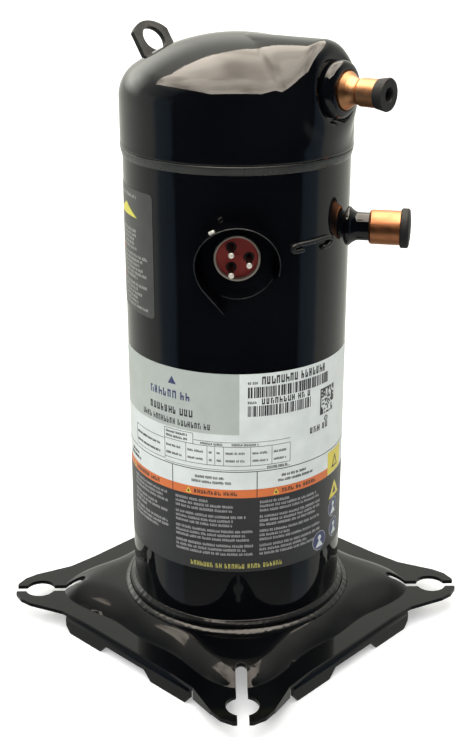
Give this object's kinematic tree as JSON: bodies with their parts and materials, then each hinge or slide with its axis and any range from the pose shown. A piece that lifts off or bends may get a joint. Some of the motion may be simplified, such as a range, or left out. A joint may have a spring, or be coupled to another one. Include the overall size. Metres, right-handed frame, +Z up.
{
  "type": "scroll compressor",
  "caption": "Upright hermetic scroll compressor with domed cap, lifting eye, copper suction and discharge stubs, fenced terminal and a slotted square mounting plate.",
  "frame": {"origin": "on the shell axis, level with the lowest edge of the mounting plate's turned-down skirts", "axes": "+Z up along the shell axis; the electrical terminal faces -Y; the four feet point along +X, +Y, -X and -Y"},
  "size_m": [0.3012, 0.3012, 0.3871],
  "materials": {
    "black_paint": "deep gloss black enamel",
    "dark_steel": "bare dark steel plate",
    "discharge_copper": "drawn copper, bright, faintly tarnished",
    "suction_copper": "drawn copper, redder",
    "plug_rubber": "matt black rubber",
    "plated_steel": "nickel-plated steel",
    "seal_glass": "fused glass",
    "terminal_insulator": "dark red moulding",
    "main_label": "printed film label",
    "side_label": "printed film label, dark grey",
    "cast_iron": "machined grey iron",
    "machined_steel": "turned steel",
    "bearing_bronze": "bearing bronze",
    "cast_aluminium": "die-cast aluminium",
    "seal_plastic": "filled polymer",
    "lamination_steel": "stacked laminations",
    "winding_copper": "enamelled copper wire, laced",
    "lead_insulation": "sleeved lead wire"
  },
  "bodies": {
    "housing": {"mounting_base": "black_paint", "bottom_cap": "black_paint", "bottom_welds": "black_paint", "shell_body": "black_paint", "top_weld": "black_paint", "top_cap": "black_paint", "discharge_fitting": "black_paint", "suction_fitting": "black_paint", "locating_lug": "black_paint", "terminal_fence": "black_paint", "lifting_eye": "dark_steel", "discharge_stub": "discharge_copper", "suction_stub": "suction_copper", "terminal_cup": "plated_steel", "terminal_pins": "plated_steel", "terminal_glass": "seal_glass", "terminal_block": "terminal_insulator", "main_label": "main_label", "side_label": "side_label", "main_bearing_housing": "cast_iron", "valve_seat": "machined_steel", "valve_cage": "machined_steel", "relief_valve_body": "machined_steel", "scroll_bolts": "machined_steel", "separator_plate": "machined_steel", "suction_baffle": "machined_steel", "lower_bearing_bracket": "machined_steel", "main_bearing": "bearing_bronze", "lower_bearing": "bearing_bronze", "thrust_washer": "bearing_bronze", "terminal_connector": "seal_plastic", "overload_protector": "seal_plastic", "stator_core": "lamination_steel", "upper_winding": "winding_copper", "lower_winding": "winding_copper", "slot_coils": "winding_copper", "motor_leads": "lead_insulation"},
    "crank": {"crankshaft": "machined_steel", "oil_pickup": "machined_steel", "rotor_core": "lamination_steel", "rotor_end_rings": "cast_aluminium", "upper_counterweight": "machined_steel", "lower_counterweight": "machined_steel"},
    "bush": {"drive_bush": "machined_steel"},
    "orbiter": {"orbiting_scroll": "cast_iron", "orbiting_bearing": "bearing_bronze"},
    "oldham": {"oldham_ring": "cast_aluminium"},
    "floating_scroll": {"fixed_scroll": "cast_iron"},
    "seal": {"floating_seal": "cast_aluminium", "seal_lip": "seal_plastic"},
    "check_valve": {"valve_disc": "machined_steel"},
    "relief_valve": {"relief_valve_plunger": "machined_steel"},
    "discharge_cover": {"discharge_plug": "plug_rubber"},
    "suction_cover": {"suction_plug": "plug_rubber"}
  },
  "joints": [
    {"name": "crank_spin", "type": "hinge", "parent": "housing", "child": "crank", "pos_m": [0, 0, 0.15], "axis": [0, 0, 1], "continuous": true},
    {"name": "bush_slide", "type": "slide", "parent": "crank", "child": "bush", "axis": [0, 1, 0], "range_m": [-0.0005, 0]},
    {"name": "scroll_orbit", "type": "hinge", "parent": "bush", "child": "orbiter", "pos_m": [0, 0.0043, 0.268], "axis": [0, 0, 1], "continuous": true},
    {"name": "oldham_slide", "type": "slide", "parent": "housing", "child": "oldham", "axis": [1, 0, 0], "range_m": [-0.0043, 0.0043]},
    {"name": "fixed_scroll_float", "type": "slide", "parent": "housing", "child": "floating_scroll", "axis": [0, 0, 1], "range_m": [0, 0.001]},
    {"name": "seal_lift", "type": "slide", "parent": "floating_scroll", "child": "seal", "axis": [0, 0, 1], "range_m": [0, 0.0015]},
    {"name": "check_valve_lift", "type": "slide", "parent": "housing", "child": "check_valve", "axis": [0, 0, 1], "range_m": [0, 0.0035]},
    {"name": "relief_valve_lift", "type": "slide", "parent": "housing", "child": "relief_valve", "axis": [0, 0, 1], "range_m": [0, 0.0015], "stiffness_N_per_m": 3000, "springref_m": -0.002},
    {"name": "discharge_plug_pull", "type": "slide", "parent": "housing", "child": "discharge_cover", "axis": [0.7771, -0.6293, 0], "range_m": [0, 0.025]},
    {"name": "suction_plug_pull", "type": "slide", "parent": "housing", "child": "suction_cover", "axis": [0.9763, -0.2164, 0], "range_m": [0, 0.03]}
  ],
  "couplings": [
    {"joint": "scroll_orbit", "follows": "crank_spin", "ratio": -1}
  ]
}
